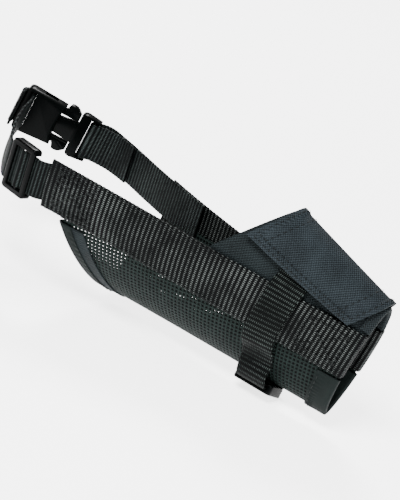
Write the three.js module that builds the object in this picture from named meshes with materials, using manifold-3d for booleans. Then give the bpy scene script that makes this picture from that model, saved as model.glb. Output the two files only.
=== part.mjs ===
// A soft dog muzzle of mesh and woven nylon, with webbing straps, a side-release buckle and two sliders.
// Millimetres. +X points to the nose, +Z up, +Y to the wearer's left. The chin line is level.
// The origin is set at the end, under the middle of the whole muzzle.
import * as THREE from 'three';
import { mergeVertices } from 'three/addons/utils/BufferGeometryUtils.js';
import Module from 'manifold-3d';

const wasm = await Module();
wasm.setup();

// ---------------------------------------------------------------- driving dimensions
// The sleeve: a tube with a rounded chin and a folded ridge, flattened at the nose.
const noseHalfWidth = 8.9; // half the width at mid height, where x is 0
const flare = 0.172; // half width gained on the right for each millimetre back from the nose
const leftGain = 26; // half width the left wall gains by leftReach: it is drawn in before that,
const leftCurve = 1.8; // as a soft muzzle's wall is when it lies empty
const webbingHeight = 35.6; // height of the side webbing's middle, where x is 0
const webbingRise = 0.08; // height it gains for each millimetre back
const ridgeHeight = 64.8; // height of the folded ridge, where x is 0
const ridgeRise = 0.334; // height the ridge gains for each millimetre back
const chinHeight = -0.5; // height of the keel line under the chin
const chinRound = 1.4; // power of the sine that rounds the lower half of a section
const ridgeRound = 1.15; // the same for the upper half, a sharper fold
const noseFoot = -2.5; // x of the nose rim at the chin line
const noseLean = 0.2; // how far the nose rim leans forward with height
const chinLength = 138.5; // length of the chin line, rim to rim
const leftReach = chinLength + 26.5;
const backLean = 0.47; // how far the back rim leans back with height on the right
const leftBackLean = 0.08; // and on the left, where the wall is drawn in
const topBack = -79.4; // x of the top panel's back edge at webbing-top height
const topBackHeight = 54.3; // that height
const topBackLean = 0.94; // how far that edge leans forward with height

// Cloth and webbing.
const meshThickness = 0.8;
const topThickness = 1.0;
const padThickness = 1.6;
const webbingThickness = 1.6;
const sideWidth = 25; // width of the side webbing
const strapWidth = 20; // width of the neck straps
const loopWidth = 17; // width of the nose loop
const sewnGap = 0.3; // space kept between layers that are sewn together
const rightWebbingLength = chinLength + 33.5; // nose rim to the rear end, on the neck slider's side
const leftWebbingLength = chinLength + 4.5;
const leftDrop = 3.5; // how far the left webbing sits below the right one towards the back
const webbingStep = 9; // length of one straight piece of the side webbing
const foldLength = 14; // webbing turned in over the nose rim
const foldStretch = 0.6; // how far that fold stands forward, as a share of its radius
const bindingThickness = 0.8;
const noseBindingReach = 11; // width of the smooth tape on the lower nose rim
const topBindingReach = 4;
const backBindingReach = 7;
const edgeTurn = 0.1; // each panel stops this far, in radians, short of the webbing's middle
const bindingTurn = 1.17; // the lower rim tapes run this far up each side, in radians
const topBindingTurn = 0.52; // the upper one starts this far above the webbing's middle

// The pad over the bridge of the nose.
const padRise = 0.574; // where its side edges lie at the back, as a share of the upper height
const padRiseFront = 0.437;
const padBackInset = 3; // from the top panel's back edge
const padInset = -0.5; // from the nose rim at the ridge, which the pad just passes
const padCornerInset = 10; // and how much more at its front corners
const padLift = 2.7; // its underside, above the sleeve's middle surface

// The nose loop.
const loopX = -40.5; // where the loop crosses the chin
const loopLean = 0.2; // how far it leans forward above loopLeanFrom
const loopLeanFrom = 26;
const loopThickness = 1.4;

// Sliders: three bars between two rails. The strap runs under the end bars and over the middle one.
const neckSliderLength = 18;
const neckSliderRail = 3;
const chinSliderLength = 15;
const chinSliderRail = 2;
const sliderBar = 3.2;
const sliderBarThickness = 1.5;
const sliderSideClearance = 0.4;
const sliderClearance = 0.35;
// The neck straps, their slider and the buckle follow the chin's rear end and the right wall there.
const rearX = -chinLength;
const rightWall = flare * rearX - noseHalfWidth;
const neckSliderCentre = new THREE.Vector3(rearX - 49, rightWall - 2.08, 46.5);
const neckSliderAlong = new THREE.Vector2(-0.975, 0.22).normalize(); // in plan, towards the buckle
const chinSliderCentre = new THREE.Vector2(-1.5, -4.2); // y and z
const chinSliderAlong = new THREE.Vector2(-0.94, 0.34).normalize(); // towards the right side

// The side-release buckle. Its own x runs from the fixed half's strap bar to the other half's.
const buckleCentre = new THREE.Vector3(rearX - 73.5, noseHalfWidth + 12.7, 54.4);
const buckleAxis = new THREE.Vector3(-0.85, -0.5, 0.17).normalize();
const buckleLength = 42;
const buckleWidth = 25;
const buckleThickness = 9.4;
const maleThickness = 6.6;
const maleBaseLength = 11;
const padRoom = 9; // length of the press pads that shows between the two halves
const prongGrip = 12; // how far the arms reach into the female half
const femaleLength = buckleLength - maleBaseLength - padRoom;
const cavityDepth = femaleLength - 7;
const cavityHalfWidth = 10.2;
const cavityHeight = 5.4;
const barSize = 2.6;
const slotLength = 2.8;
const slotWidth = strapWidth + 1.6;
const prongThickness = 4.4;
const tongueThickness = 4.4;
const prongLength = padRoom + prongGrip;
const prongInner = 6.4;
const prongOuter = 9.6;
const tongueRootHalf = 5.8; // the guide tongue tapers, to leave the squeezed arms room
const tongueTipHalf = 3.8;
const padBulge = 13.0;
const partGap = 0.3; // between pieces that touch
const wrapClearance = 0.65; // between a bar and the webbing round it

// ---------------------------------------------------------------- materials
const cloth = (color, roughness) => new THREE.MeshStandardMaterial({ color, roughness, metalness: 0 });
const meshCloth = cloth(0x1d2725, 0.8);
const wovenNylon = cloth(0x2c3439, 0.85);
const bindingTape = cloth(0x1f2b2a, 0.75);
const webbing = cloth(0x1c2124, 0.7);
const acetal = cloth(0x0c100f, 0.35);

// ---------------------------------------------------------------- helpers
const lerp = THREE.MathUtils.lerp;
const smooth = (value, from, to) => THREE.MathUtils.smoothstep(value, from, to);

// Only positions, with shared corners merged, so that the surface is closed.
function weld(geometry) {
  geometry.deleteAttribute('normal');
  geometry.deleteAttribute('uv');
  return mergeVertices(geometry, 1e-4);
}

function signedVolume(geometry) {
  const corners = [new THREE.Vector3(), new THREE.Vector3(), new THREE.Vector3()];
  const { position } = geometry.attributes;
  let sum = 0;
  for (let i = 0; i < geometry.index.count; i += 3) {
    corners.forEach((corner, k) => corner.fromBufferAttribute(position, geometry.index.getX(i + k)));
    sum += corners[0].dot(corners[1].cross(corners[2]));
  }
  return sum / 6;
}

// Moves every point of a flat-made solid to its place, and keeps its faces pointing out.
function bend(geometry, place) {
  const solid = weld(geometry);
  const { position } = solid.attributes;
  const point = new THREE.Vector3();
  for (let i = 0; i < position.count; i += 1) {
    const moved = place(point.fromBufferAttribute(position, i));
    position.setXYZ(i, moved.x, moved.y, moved.z);
  }
  if (signedVolume(solid) < 0) {
    for (let i = 0; i < solid.index.count; i += 3) {
      const second = solid.index.getX(i + 1);
      solid.index.setX(i + 1, solid.index.getX(i + 2));
      solid.index.setX(i + 2, second);
    }
  }
  return solid;
}

function toManifold(geometry) {
  const solid = weld(geometry);
  return new wasm.Manifold(new wasm.Mesh({
    numProp: 3,
    vertProperties: new Float32Array(solid.attributes.position.array),
    triVerts: new Uint32Array(solid.index.array),
  }));
}

function fromManifold(solid) {
  const mesh = solid.getMesh();
  const geometry = new THREE.BufferGeometry();
  geometry.setAttribute('position', new THREE.BufferAttribute(new Float32Array(mesh.vertProperties), 3));
  geometry.setIndex(new THREE.BufferAttribute(new Uint32Array(mesh.triVerts), 1));
  return geometry;
}

// A box given by its lowest and highest corner.
function block(low, high) {
  const size = high.map((value, i) => value - low[i]);
  const box = new THREE.BoxGeometry(...size);
  box.translate(...low.map((value, i) => value + size[i] / 2));
  return box;
}

// A plate with the given outline, rounded over its edges, its middle at z = 0.
function plate(shape, thickness, rounding) {
  const geometry = new THREE.ExtrudeGeometry(shape, {
    depth: thickness - 2 * rounding,
    bevelSize: rounding,
    bevelThickness: rounding,
    bevelOffset: -rounding,
    bevelSegments: 2,
    curveSegments: 5,
  });
  geometry.translate(0, 0, rounding - thickness / 2);
  return geometry;
}

const group = new THREE.Group();
function add(name, geometry, material, frame) {
  const mesh = new THREE.Mesh(geometry, material);
  mesh.name = name;
  if (frame) mesh.applyMatrix4(frame);
  group.add(mesh);
  return mesh;
}

// ---------------------------------------------------------------- the sleeve's surface
function halfWidth(x, side) {
  if (side < 0) return noseHalfWidth - flare * x;
  return noseHalfWidth + leftGain * (Math.max(0, -x) / leftReach) ** leftCurve;
}
const middle = (x) => webbingHeight - webbingRise * x;
const ridge = (x) => ridgeHeight - ridgeRise * x;
const noseRim = (z) => noseFoot + noseLean * z;
const backRim = (z, turn) => noseFoot - chinLength - (turn < 0 ? leftBackLean : backLean) * z;
const topRim = (z) => topBack + topBackLean * (z - topBackHeight);

// A point of the sleeve. turn is 0 at the chin, a right angle at the right side, half a turn at the
// ridge, and goes on round the left side. The height follows its cosine and the width its sine.
function onSleeve(x, turn) {
  const rise = -Math.cos(turn);
  const across = Math.sin(turn);
  const reach = rise < 0 ? middle(x) - chinHeight : ridge(x) - middle(x);
  const power = rise < 0 ? chinRound : ridgeRound;
  const side = -Math.sign(across);
  const y = side * halfWidth(x, side) * Math.abs(across) ** power;
  return new THREE.Vector3(x, y, middle(x) + rise * reach);
}

// The same point, lifted off the sleeve along its outward normal.
function overSleeve(x, turn, lift) {
  const step = 0.02;
  const along = onSleeve(x + 1, turn).sub(onSleeve(x - 1, turn));
  const round = onSleeve(x, turn + step).sub(onSleeve(x, turn - step));
  return onSleeve(x, turn).addScaledVector(along.cross(round).normalize(), lift);
}

// The x of a rim line at a turn: the rim's lean depends on the height, which depends on x.
function rimX(rim, turn) {
  let x = rim(middle(0), turn);
  for (let i = 0; i < 12; i += 1) x = rim(onSleeve(x, turn).z, turn);
  return x;
}

// A sheet that lies on the sleeve between two rims. turnAt gives its turn for a share of the way
// round and a share of the way along.
function sheet(lengthSteps, roundSteps, low, high, turnAt, rims) {
  const flat = new THREE.BoxGeometry(1, 1, 1, lengthSteps, roundSteps, 1);
  return bend(flat, ({ x, y, z }) => {
    const turn = turnAt(y + 0.5, x + 0.5);
    const placeX = lerp(rimX(rims[0], turn), rimX(rims[1], turn), x + 0.5);
    return overSleeve(placeX, turn, lerp(low, high, z + 0.5));
  });
}

// ---------------------------------------------------------------- panels
const half = Math.PI / 2;
const meshTurn = (round) => lerp(edgeTurn - half, half - edgeTurn, round);
const topTurn = (round) => lerp(half + edgeTurn, 3 * half - edgeTurn, round);
add('mesh_panel', sheet(16, 22, -meshThickness / 2, meshThickness / 2, meshTurn, [backRim, noseRim]),
  meshCloth);
add('top_panel', sheet(8, 20, -topThickness / 2, topThickness / 2, topTurn, [topRim, noseRim]),
  wovenNylon);

const padEdge = (share) => Math.PI - Math.acos(lerp(padRise, padRiseFront, share));
const padTurn = (round, share) => lerp(padEdge(share), 2 * Math.PI - padEdge(share), round);
function padRim(z, turn) {
  const fromRidge = Math.abs(turn - Math.PI) / (Math.PI - padEdge(1));
  return noseRim(z) - padInset - padCornerInset * Math.min(1, fromRidge) ** 2;
}
add('bridge_pad', sheet(10, 16, padLift, padLift + padThickness, padTurn,
  [(z) => topRim(z) + padBackInset, padRim]), wovenNylon);

// ---------------------------------------------------------------- rim tapes
// A tape folded over a rim: a U in section, its open side towards the panel.
function binding(rim, outward, reach, panelThickness, turns) {
  const inner = panelThickness / 2 + sewnGap;
  const outer = inner + bindingThickness;
  const fold = sewnGap + bindingThickness;
  const corners = [
    [-reach, inner], [-reach, outer], [fold, outer], [fold, -outer],
    [-reach, -outer], [-reach, -inner], [sewnGap, -inner], [sewnGap, inner],
  ];
  const shape = new THREE.Shape(corners.map(([x, y]) => new THREE.Vector2(x, y)));
  const flat = new THREE.ExtrudeGeometry(shape, { depth: 1, steps: 18, bevelEnabled: false });
  return bend(flat, ({ x, y, z }) => {
    const turn = lerp(...turns, z);
    return overSleeve(rimX(rim, turn) + outward * x, turn, y);
  });
}
const underChinTurns = [-bindingTurn, bindingTurn];
const overNoseTurns = [half + topBindingTurn, 3 * half - topBindingTurn];
add('nose_binding_lower', binding(noseRim, 1, noseBindingReach, meshThickness, underChinTurns),
  bindingTape);
add('nose_binding_upper', binding(noseRim, 1, topBindingReach, topThickness + sewnGap, overNoseTurns),
  bindingTape);
add('back_binding', binding(backRim, -1, backBindingReach, meshThickness, underChinTurns), bindingTape);

// ---------------------------------------------------------------- side webbing
// Webbing along the side, sewn over both panels, and turned in over the nose rim. It runs from the
// folded-in end, round the rim by a flattened half circle, and back along the outside.
function sideWebbing(side, length) {
  const foldSteps = [2, 6];
  const steps = foldSteps[0] + foldSteps[1] + Math.round(length / webbingStep);
  const middleLift = topThickness / 2 + sewnGap + webbingThickness / 2;
  const flat = new THREE.BoxGeometry(1, 1, 1, steps, 4, 1);
  return bend(flat, ({ x, y, z }) => {
    const step = Math.round((x + 0.5) * steps) - foldSteps[0];
    const angle = Math.PI * THREE.MathUtils.clamp(step / foldSteps[1], 0, 1);
    const outerShare = Math.max(0, step - foldSteps[1]) / (steps - foldSteps[0] - foldSteps[1]);
    const leg = length * outerShare + (foldLength * Math.max(0, -step)) / foldSteps[0];
    const radius = middleLift + z * webbingThickness;
    const along = foldStretch * radius * Math.sin(angle) - leg;
    const drop = side > 0 ? leftDrop * smooth(-along, 20, 90) : 0;
    const up = y * sideWidth - drop;
    const leanShare = smooth(along, -100, -10);
    const placeX = along + noseRim(webbingHeight) + leanShare * (noseRim(up) - noseRim(0));
    const reach = up < 0 ? middle(placeX) - chinHeight : ridge(placeX) - middle(placeX);
    const turn = Math.acos(-up / reach);
    return overSleeve(placeX, side > 0 ? 2 * Math.PI - turn : turn, -radius * Math.cos(angle));
  });
}
add('side_webbing_right', sideWebbing(-1, rightWebbingLength), webbing);
add('side_webbing_left', sideWebbing(1, leftWebbingLength), webbing);

// ---------------------------------------------------------------- straps
// The outline of a band of one thickness along a line of points in a plane.
function bandShape(points, thickness) {
  const left = [];
  const right = [];
  points.forEach((point, i) => {
    const before = points[Math.max(i - 1, 0)];
    const after = points[Math.min(i + 1, points.length - 1)];
    const across = after.clone().sub(before).normalize().rotateAround(new THREE.Vector2(), half);
    left.push(point.clone().addScaledVector(across, thickness / 2));
    right.unshift(point.clone().addScaledVector(across, -thickness / 2));
  });
  return new THREE.Shape([...left, ...right]);
}

// A line of points that runs to a bar, round it, and back over itself for a share of its length.
function roundBar(route, radius, spacing, returnShare, steps) {
  const offset = (share) => lerp(spacing, radius, smooth(share, 0.78, 0.95));
  const across = (share) => {
    const tangent = route.getTangentAt(share);
    return new THREE.Vector2(-tangent.y, tangent.x);
  };
  const points = [];
  for (let i = 0; i <= steps; i += 1) {
    points.push(route.getPointAt(i / steps).addScaledVector(across(i / steps), -offset(i / steps)));
  }
  const centre = route.getPointAt(1);
  const start = points[points.length - 1].clone().sub(centre);
  for (let i = 1; i < 8; i += 1) {
    points.push(start.clone().rotateAround(new THREE.Vector2(), (i / 8) * Math.PI).add(centre));
  }
  for (let i = steps; i >= Math.ceil(steps * (1 - returnShare)); i -= 1) {
    points.push(route.getPointAt(i / steps).addScaledVector(across(i / steps), offset(i / steps)));
  }
  return points;
}

// The buckle's own frame: x along it, y across it, z through its thickness.
const buckleThrough = new THREE.Vector3().crossVectors(buckleAxis, new THREE.Vector3(0, 0, 1)).normalize();
const buckleAcross = new THREE.Vector3().crossVectors(buckleThrough, buckleAxis);
const buckleFrame = new THREE.Matrix4().makeBasis(buckleAxis, buckleAcross, buckleThrough)
  .setPosition(buckleCentre);
const barOffset = (buckleLength - barSize) / 2;
const wrapRadius = barSize / 2 + wrapClearance + webbingThickness / 2;
const femaleBar = buckleCentre.clone().addScaledVector(buckleAxis, barOffset);
const maleBar = buckleCentre.clone().addScaledVector(buckleAxis, -barOffset);
const flatPoint = ({ x, y }) => new THREE.Vector2(x, y);
const axisPlan = flatPoint(buckleAxis).normalize();
const throughPlan = flatPoint(buckleThrough).normalize();

// A neck strap stands on edge. Its width turns from upright to the buckle's tilt between two
// distances behind the chin's rear end.
function neckStrap(points, height, turnFrom, turnTo) {
  const shape = bandShape(points, webbingThickness);
  const flat = new THREE.ExtrudeGeometry(shape, { depth: strapWidth, steps: 1, bevelEnabled: false });
  return bend(flat, ({ x, y, z }) => {
    const share = smooth(rearX - x, turnFrom, turnTo);
    const width = new THREE.Vector3(0, 0, 1).lerp(buckleAcross, share).normalize();
    return new THREE.Vector3(x, y, height(x)).addScaledVector(width, z - strapWidth / 2);
  });
}

// Where a neck strap's end is sewn: flat against the inside of the panel, which is nearest to the
// middle at the strap's lower edge. A route lies half a layer further right than the sewn layer.
const layerSpacing = (webbingThickness + sewnGap) / 2;
const sewnLift = -(topThickness / 2 + sewnGap + webbingThickness / 2);
function sewnPoint(x, side) {
  const lowerEdge = Math.acos(strapWidth / 2 / (middle(x) - chinHeight));
  const { y } = onSleeve(x, side < 0 ? lowerEdge : -lowerEdge);
  return new THREE.Vector2(x, y + side * sewnLift - layerSpacing);
}

// Right strap: from the side webbing straight through the slider, then round to the buckle.
const rightBar = flatPoint(femaleBar);
const sliderPoint = (distance) => flatPoint(neckSliderCentre).addScaledVector(neckSliderAlong, distance);
function rightHeight(x) {
  const atSlider = lerp(middle(x), neckSliderCentre.z, smooth(rearX - x, 21.5, 37.5));
  return lerp(atSlider, femaleBar.z, smooth(rearX - x, 60.5, rearX - femaleBar.x));
}
const rightRoute = new THREE.CatmullRomCurve3([
  sewnPoint(rearX - 11.5, -1),
  sewnPoint(rearX - 23.5, -1),
  sliderPoint(-12),
  sliderPoint(-9.5),
  sliderPoint(0),
  sliderPoint(9.5),
  sliderPoint(12),
  new THREE.Vector2(rearX - 70, rightWall + 10.7),
  rightBar.clone().addScaledVector(throughPlan, -14),
  rightBar.clone().addScaledVector(throughPlan, -6),
  rightBar,
].map(({ x, y }) => new THREE.Vector3(x, y, 0)), false, 'centripetal');

function planRoute(curve) {
  return {
    getPointAt: (share) => flatPoint(curve.getPointAt(share)),
    getTangentAt: (share) => flatPoint(curve.getTangentAt(share)),
  };
}
const rightPoints = roundBar(planRoute(rightRoute), wrapRadius, layerSpacing, 0.2, 34);
const femaleBehind = rearX - femaleBar.x;
add('neck_strap_right', neckStrap(rightPoints, rightHeight, 64.5, femaleBehind - 4), webbing);

// Left strap: from the inside of the left webbing straight back to the fixed half of the buckle.
const maleBehind = rearX - maleBar.x;
const leftHeight = (x) => lerp(middle(x), maleBar.z, smooth(rearX - x, 6.5, maleBehind));
const leftBar = flatPoint(maleBar);
const leftRoute = new THREE.CatmullRomCurve3([
  sewnPoint(rearX + 26.5, 1),
  sewnPoint(rearX + 12.5, 1),
  sewnPoint(rearX - 0.5, 1),
  sewnPoint(rearX - 11.5, 1),
  leftBar.clone().addScaledVector(axisPlan, -5),
  leftBar,
].map(({ x, y }) => new THREE.Vector3(x, y, 0)), false, 'centripetal');
const leftPoints = roundBar(planRoute(leftRoute), wrapRadius, layerSpacing, 0.34, 30);
add('neck_strap_left', neckStrap(leftPoints, leftHeight, 26.5, maleBehind - 3), webbing);

// The nose loop: from the left flank up over the left webbing, under the pad, down over the right
// webbing, and straight through the slider under the chin, where its free end comes out on the left.
const overWebbing = loopThickness / 2 + topThickness / 2 + sewnGap * 3 + webbingThickness;
function loopLift(turn) {
  const fromSide = Math.abs(Math.abs(turn - Math.PI) - half);
  const onPanel = loopThickness / 2 + topThickness / 2 + sewnGap;
  const below = Math.abs(turn - Math.PI) > half;
  return lerp(overWebbing, onPanel, below ? smooth(fromSide, 0.47, 0.6) : smooth(fromSide, 0.39, 0.49));
}
const loopPoints = [];
const loopTurnSteps = 60;
const loopStartTurn = 0.8;
for (let i = 0; i <= loopTurnSteps; i += 1) {
  const turn = lerp(2 * Math.PI - loopStartTurn, loopStartTurn, i / loopTurnSteps);
  const { y, z } = overSleeve(loopX, turn, loopLift(turn));
  loopPoints.push(new THREE.Vector2(y, z));
}
const alongSlider = (distance) => chinSliderCentre.clone().addScaledVector(chinSliderAlong, distance);
const underChin = new THREE.CatmullRomCurve3([
  loopPoints[loopPoints.length - 1],
  new THREE.Vector2(-12.4, 3.6),
  alongSlider(9.6),
  alongSlider(7.5),
  alongSlider(0),
  alongSlider(-7.5),
  alongSlider(-9.5),
  new THREE.Vector2(10.6, -4.4),
  new THREE.Vector2(11.4, 2.5),
].map(({ x, y }) => new THREE.Vector3(x, y, 0)), false, 'centripetal');
for (let i = 1; i <= 26; i += 1) loopPoints.push(flatPoint(underChin.getPointAt(i / 26)));
const loopFlat = new THREE.ExtrudeGeometry(bandShape(loopPoints, loopThickness), {
  depth: loopWidth,
  steps: 1,
  bevelEnabled: false,
});
// Away from the chin the strap hugs the sleeve, which narrows and falls towards the nose.
add('nose_loop_strap', bend(loopFlat, ({ x: y, y: z, z: width }) => {
  const placeX = loopX + width - loopWidth / 2 + loopLean * Math.max(0, z - loopLeanFrom);
  const hug = smooth(z, 4, 11);
  const above = Math.max(0, (z - middle(loopX)) / (ridge(loopX) - middle(loopX)));
  const side = Math.sign(y);
  const across = (x) => halfWidth(x, side) + overWebbing;
  const narrower = lerp(1, across(placeX) / across(loopX), hug);
  return new THREE.Vector3(placeX, y * narrower, z + above * (ridge(placeX) - ridge(loopX)));
}), webbing);

// ---------------------------------------------------------------- sliders
function slider(length, rail, strap, thickness) {
  const slot = strap + 2 * sliderSideClearance;
  const width = slot + 2 * rail;
  const inner = thickness / 2 + sliderClearance;
  const outer = inner + sliderBarThickness;
  const end = length / 2;
  const outline = new THREE.Shape();
  const corner = 2.4;
  outline.moveTo(-end + corner, -width / 2);
  outline.lineTo(end - corner, -width / 2);
  outline.quadraticCurveTo(end, -width / 2, end, -width / 2 + corner);
  outline.lineTo(end, width / 2 - corner);
  outline.quadraticCurveTo(end, width / 2, end - corner, width / 2);
  outline.lineTo(-end + corner, width / 2);
  outline.quadraticCurveTo(-end, width / 2, -end, width / 2 - corner);
  outline.lineTo(-end, -width / 2 + corner);
  outline.quadraticCurveTo(-end, -width / 2, -end + corner, -width / 2);
  let solid = toManifold(plate(outline, 2 * outer, 0.6));
  // The strap's way through, then the room above the middle bar and below the end bars.
  const reach = end - sliderBar;
  const cuts = [
    block([-end - 1, -slot / 2, -inner], [end + 1, slot / 2, inner]),
    block([-reach, -slot / 2, 0], [reach, slot / 2, outer + 1]),
    block([-end - 1, -slot / 2, -outer - 1], [-sliderBar / 2, slot / 2, 0]),
    block([sliderBar / 2, -slot / 2, -outer - 1], [end + 1, slot / 2, 0]),
  ];
  cuts.forEach((cut) => { solid = solid.subtract(toManifold(cut)); });
  return fromManifold(solid);
}

// The frame of a slider: x along its strap, z outwards.
function sliderFrame(along, outward, centre) {
  return new THREE.Matrix4().makeBasis(along, new THREE.Vector3().crossVectors(outward, along), outward)
    .setPosition(centre);
}
const neckOutward = new THREE.Vector3(-neckSliderAlong.y, neckSliderAlong.x, 0);
add('neck_slider', slider(neckSliderLength, neckSliderRail, strapWidth, webbingThickness), acetal,
  sliderFrame(
    new THREE.Vector3(neckSliderAlong.x, neckSliderAlong.y, 0),
    neckOutward,
    neckSliderCentre.clone().addScaledVector(neckOutward, -layerSpacing),
  ));
add('chin_slider', slider(chinSliderLength, chinSliderRail, loopWidth, loopThickness), acetal,
  sliderFrame(
    new THREE.Vector3(0, chinSliderAlong.x, chinSliderAlong.y),
    new THREE.Vector3(0, -chinSliderAlong.y, chinSliderAlong.x),
    new THREE.Vector3(loopX, chinSliderCentre.x, chinSliderCentre.y),
  ));

// ---------------------------------------------------------------- the buckle
const buckleStart = -buckleLength / 2;
const buckleEnd = buckleLength / 2;

// A strap slot, and the bar it leaves at the end.
function strapSlot(end, inward) {
  const near = end + inward * barSize;
  const far = near + inward * slotLength;
  return block([Math.min(near, far), -slotWidth / 2, -10], [Math.max(near, far), slotWidth / 2, 10]);
}

function maleHalf() {
  const baseEnd = buckleStart + maleBaseLength;
  const outline = new THREE.Shape();
  outline.moveTo(buckleStart, -buckleWidth / 2 + 1);
  outline.lineTo(baseEnd - 3, -buckleWidth / 2);
  outline.quadraticCurveTo(baseEnd, -buckleWidth / 2, baseEnd, -buckleWidth / 2 + 2.5);
  outline.lineTo(baseEnd, buckleWidth / 2 - 2.5);
  outline.quadraticCurveTo(baseEnd, buckleWidth / 2, baseEnd - 3, buckleWidth / 2);
  outline.lineTo(buckleStart, buckleWidth / 2 - 1);
  let solid = toManifold(plate(outline, maleThickness, 0.8));
  const thin = (maleThickness - barSize) / 2;
  solid = solid.subtract(toManifold(strapSlot(buckleStart, 1)));
  [-1, 1].forEach((side) => {
    const low = side < 0 ? -maleThickness : maleThickness / 2 - thin;
    const high = side < 0 ? thin - maleThickness / 2 : maleThickness;
    solid = solid.subtract(toManifold(block(
      [buckleStart - 1, -slotWidth / 2, low],
      [buckleStart + barSize + 0.1, slotWidth / 2, high],
    )));
  });
  const tongue = new THREE.Shape([
    new THREE.Vector2(baseEnd - 1, -tongueRootHalf),
    new THREE.Vector2(baseEnd + prongLength - 4, -tongueTipHalf),
    new THREE.Vector2(baseEnd + prongLength - 4, tongueTipHalf),
    new THREE.Vector2(baseEnd - 1, tongueRootHalf),
  ]);
  return fromManifold(solid.add(toManifold(plate(tongue, tongueThickness, 0.5))));
}

// One springy arm with its press pad, drawn on the upper side and mirrored for the lower.
function prong(side) {
  const root = buckleStart + maleBaseLength + partGap;
  const tip = root + prongLength;
  const outline = new THREE.Shape();
  outline.moveTo(root, side * prongInner);
  outline.lineTo(tip - 2, side * prongInner);
  outline.quadraticCurveTo(tip, side * prongInner, tip, side * (prongInner + 1.4));
  outline.lineTo(tip - 3, side * prongOuter);
  outline.lineTo(root + 8.2, side * prongOuter);
  outline.lineTo(root + 6.8, side * padBulge);
  outline.quadraticCurveTo(root + 3.5, side * (padBulge + 0.9), root + 1.2, side * (padBulge - 1.6));
  outline.lineTo(root, side * (padBulge - 2.6));
  return weld(plate(outline, prongThickness, 0.5));
}

function femaleHalf() {
  const mouth = buckleEnd - femaleLength;
  const outline = new THREE.Shape();
  outline.moveTo(mouth, -buckleWidth / 2 + 1.2);
  outline.lineTo(buckleEnd - 3, -buckleWidth / 2);
  outline.quadraticCurveTo(buckleEnd, -buckleWidth / 2, buckleEnd, -buckleWidth / 2 + 3);
  outline.lineTo(buckleEnd, buckleWidth / 2 - 3);
  outline.quadraticCurveTo(buckleEnd, buckleWidth / 2, buckleEnd - 3, buckleWidth / 2);
  outline.lineTo(mouth, buckleWidth / 2 - 1.2);
  outline.quadraticCurveTo(mouth + 3, 0, mouth, -buckleWidth / 2 + 1.2);
  let solid = toManifold(plate(outline, buckleThickness, 1.4));
  const cavity = block(
    [mouth - 1, -cavityHalfWidth, -cavityHeight / 2],
    [mouth + cavityDepth, cavityHalfWidth, cavityHeight / 2],
  );
  solid = solid.subtract(toManifold(cavity)).subtract(toManifold(strapSlot(buckleEnd, -1)));
  [-1, 1].forEach((side) => {
    const window = block(
      [mouth + 5.5, Math.min(side * 8, side * 20), -1.9],
      [mouth + 13, Math.max(side * 8, side * 20), 1.9],
    );
    const face = block(
      [buckleEnd - barSize - 0.1, -slotWidth / 2, Math.min(side * barSize / 2, side * 10)],
      [buckleEnd + 1, slotWidth / 2, Math.max(side * barSize / 2, side * 10)],
    );
    solid = solid.subtract(toManifold(window)).subtract(toManifold(face));
  });
  return fromManifold(solid);
}
add('buckle_male', maleHalf(), acetal, buckleFrame);
add('buckle_prong_upper', prong(1), acetal, buckleFrame);
add('buckle_prong_lower', prong(-1), acetal, buckleFrame);
add('buckle_female', femaleHalf(), acetal, buckleFrame);

// ---------------------------------------------------------------- the frame of the whole part
group.updateMatrixWorld(true);
const bounds = new THREE.Box3().setFromObject(group, true);
const middleOfPart = bounds.getCenter(new THREE.Vector3());
group.position.set(-middleOfPart.x, -middleOfPart.y, -bounds.min.z);

export default group;
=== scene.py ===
# %% [markdown]
# # A soft dog muzzle
# A tapered sleeve of net under the chin and woven nylon over the nose, held together by
# ribbed webbing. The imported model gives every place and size, and this lesson builds the
# cloth, webbing, thread and plastic that show.

import math

import bmesh
import bpy
import numpy as np
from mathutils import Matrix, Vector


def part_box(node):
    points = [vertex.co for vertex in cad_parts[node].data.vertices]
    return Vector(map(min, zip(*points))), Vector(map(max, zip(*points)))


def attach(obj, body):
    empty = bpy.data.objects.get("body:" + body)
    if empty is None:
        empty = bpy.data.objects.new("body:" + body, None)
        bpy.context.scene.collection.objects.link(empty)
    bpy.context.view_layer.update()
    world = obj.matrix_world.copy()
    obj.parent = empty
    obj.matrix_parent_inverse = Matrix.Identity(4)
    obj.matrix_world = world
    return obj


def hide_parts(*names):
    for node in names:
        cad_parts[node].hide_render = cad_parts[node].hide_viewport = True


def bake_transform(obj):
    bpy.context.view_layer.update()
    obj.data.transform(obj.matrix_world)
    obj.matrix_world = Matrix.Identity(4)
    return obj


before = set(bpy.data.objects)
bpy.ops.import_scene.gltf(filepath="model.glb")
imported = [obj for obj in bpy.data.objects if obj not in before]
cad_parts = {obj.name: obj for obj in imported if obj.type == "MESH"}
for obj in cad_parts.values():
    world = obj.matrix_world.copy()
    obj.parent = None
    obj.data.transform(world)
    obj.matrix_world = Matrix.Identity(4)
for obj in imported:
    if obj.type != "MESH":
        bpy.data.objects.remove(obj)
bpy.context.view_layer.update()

# %% [markdown]
# ## The camera
# A long lens from the front right, a little above, and rolled, so the muzzle hangs across
# the frame from upper left to lower right.

# %% Place the camera
MM = 0.001
LOOP_X = -40.5  # where the nose loop crosses the chin, in millimetres behind the nose
CHIN_SLIDER = np.array([-1.5, -4.2])  # y and z of the chin slider's middle in the drawing
slider_corners = np.array(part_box("chin_slider"), float)
DRAWING_SHIFT = slider_corners.mean(axis=0) / MM - np.array([LOOP_X, *CHIN_SLIDER])


def in_row(points):
    """Millimetres of the drawing to metres of the row: add the shift and divide by 1000."""
    return (np.asarray(points, float) + DRAWING_SHIFT) * MM


def unit(vectors):
    """Each vector divided by its own length."""
    vectors = np.asarray(vectors, float)
    return vectors / np.maximum(np.linalg.norm(vectors, axis=-1, keepdims=True), 1e-12)


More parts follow.
